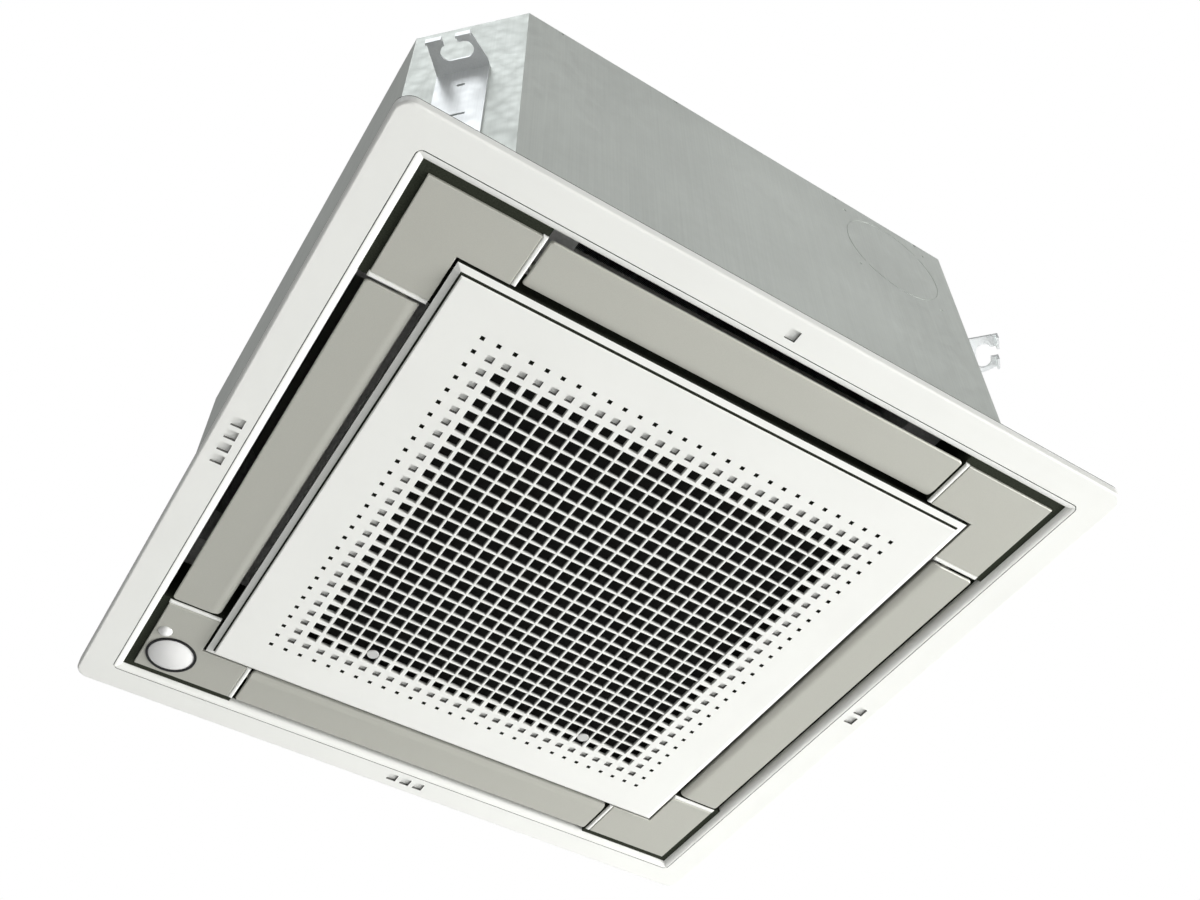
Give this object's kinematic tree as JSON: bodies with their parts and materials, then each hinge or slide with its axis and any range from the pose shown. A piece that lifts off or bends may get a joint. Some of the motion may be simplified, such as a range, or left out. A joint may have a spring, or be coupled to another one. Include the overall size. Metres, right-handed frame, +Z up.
{
  "type": "ceiling cassette air conditioner",
  "caption": "Compact ceiling cassette air conditioner with a flat square panel, swinging flaps, a square lattice suction grille and a suspended octagonal casing.",
  "frame": {"origin": "centre of the unit in the ceiling plane, where the panel's rim meets the ceiling", "axes": "+Z up out of the ceiling void, -Y the front side with one square mark, +X the side with two marks and the pipes"},
  "size_m": [0.645, 0.62, 0.31],
  "materials": {
    "panel_white": "fine moulded satin",
    "silver_paint": "satin silver paint on plastic",
    "filter_plastic": "moulded",
    "filter_net": "fine net",
    "sensor_black": "gloss",
    "sensor_lens": "milky gloss",
    "galvanised_sheet": "galvanised, matte",
    "bracket_steel": "zinc plated",
    "foam": "expanded foam",
    "fan_plastic": "moulded",
    "motor_steel": "painted",
    "black_rubber": "matte",
    "fin_aluminium": "thin fins",
    "copper": "copper tube",
    "brass": "machined",
    "grey_plastic": "moulded",
    "clear_hose": "soft hose",
    "circuit_board": "lacquered board",
    "black_plastic": "moulded"
  },
  "bodies": {
    "unit": {"air_thermistor": "black_plastic", "bell_mouth": "galvanised_sheet", "casing_liner": "foam", "casing_top": "galvanised_sheet", "casing_walls": "galvanised_sheet", "coil_end_plates": "galvanised_sheet", "coil_fins": "fin_aluminium", "coil_hairpins": "copper", "control_board": "circuit_board", "control_box": "galvanised_sheet", "control_box_cover": "galvanised_sheet", "corner_cover_back_left": "silver_paint", "corner_cover_back_right": "silver_paint", "corner_cover_front_left": "silver_paint", "corner_cover_front_right": "silver_paint", "drain_hose": "clear_hose", "drain_pan": "foam", "drain_pump": "grey_plastic", "drain_socket": "grey_plastic", "fan_motor": "motor_steel", "float_switch_stem": "grey_plastic", "floor_sensor_bezel": "sensor_black", "floor_sensor_lens": "sensor_lens", "gas_pipe": "copper", "gas_union": "brass", "hanger_bracket_back_left": "bracket_steel", "hanger_bracket_back_right": "bracket_steel", "hanger_bracket_front_left": "bracket_steel", "hanger_bracket_front_right": "bracket_steel", "liquid_pipe": "copper", "liquid_union": "brass", "motor_rubbers": "black_rubber", "motor_studs": "bracket_steel", "outlet_frame": "foam", "panel_frame": "panel_white", "panel_screws": "bracket_steel", "panel_seal": "foam", "pipe_plate": "galvanised_sheet", "presence_sensor": "sensor_lens", "swing_motor_back": "grey_plastic", "swing_motor_front": "grey_plastic", "swing_motor_left": "grey_plastic", "swing_motor_right": "grey_plastic", "terminal_block": "black_plastic", "wire_grommets": "black_rubber"},
    "fan": {"turbo_fan": "fan_plastic", "motor_shaft": "bracket_steel", "fan_nut": "bracket_steel"},
    "grille": {"grille_base": "panel_white", "grille_face": "panel_white", "grille_bars": "panel_white", "filter_frame": "filter_plastic", "filter_mesh": "filter_net"},
    "left_latch": {"grille_latch_left": "black_plastic"},
    "right_latch": {"grille_latch_right": "black_plastic"},
    "float": {"float_ring": "grey_plastic"},
    "front_flap": {"flap_front": "silver_paint"},
    "right_flap": {"flap_right": "silver_paint"},
    "back_flap": {"flap_back": "silver_paint"},
    "left_flap": {"flap_left": "silver_paint"}
  },
  "joints": [
    {"name": "fan_spin", "type": "hinge", "parent": "unit", "child": "fan", "pos_m": [0, 0, 0.19], "axis": [0, 0, 1], "continuous": true},
    {"name": "front_flap_tilt", "type": "hinge", "parent": "unit", "child": "front_flap", "pos_m": [0, -0.243, -0.001], "axis": [1, 0, 0], "range_deg": [0, 60]},
    {"name": "right_flap_tilt", "type": "hinge", "parent": "unit", "child": "right_flap", "pos_m": [0.243, 0, -0.001], "axis": [0, 1, 0], "range_deg": [0, 60]},
    {"name": "back_flap_tilt", "type": "hinge", "parent": "unit", "child": "back_flap", "pos_m": [0, 0.243, -0.001], "axis": [-1, 0, 0], "range_deg": [0, 60]},
    {"name": "left_flap_tilt", "type": "hinge", "parent": "unit", "child": "left_flap", "pos_m": [-0.243, 0, -0.001], "axis": [0, -1, 0], "range_deg": [0, 60]},
    {"name": "grille_swing", "type": "hinge", "parent": "unit", "child": "grille", "pos_m": [0, -0.2125, -0.0025], "axis": [-1, 0, 0], "range_deg": [0, 90]},
    {"name": "left_latch_slide", "type": "slide", "parent": "grille", "child": "left_latch", "axis": [0, 1, 0], "range_m": [0, 0.0036]},
    {"name": "right_latch_slide", "type": "slide", "parent": "grille", "child": "right_latch", "axis": [0, 1, 0], "range_m": [0, 0.0036]},
    {"name": "float_rise", "type": "slide", "parent": "unit", "child": "float", "axis": [0, 0, 1], "range_m": [0, 0.008]}
  ]
}
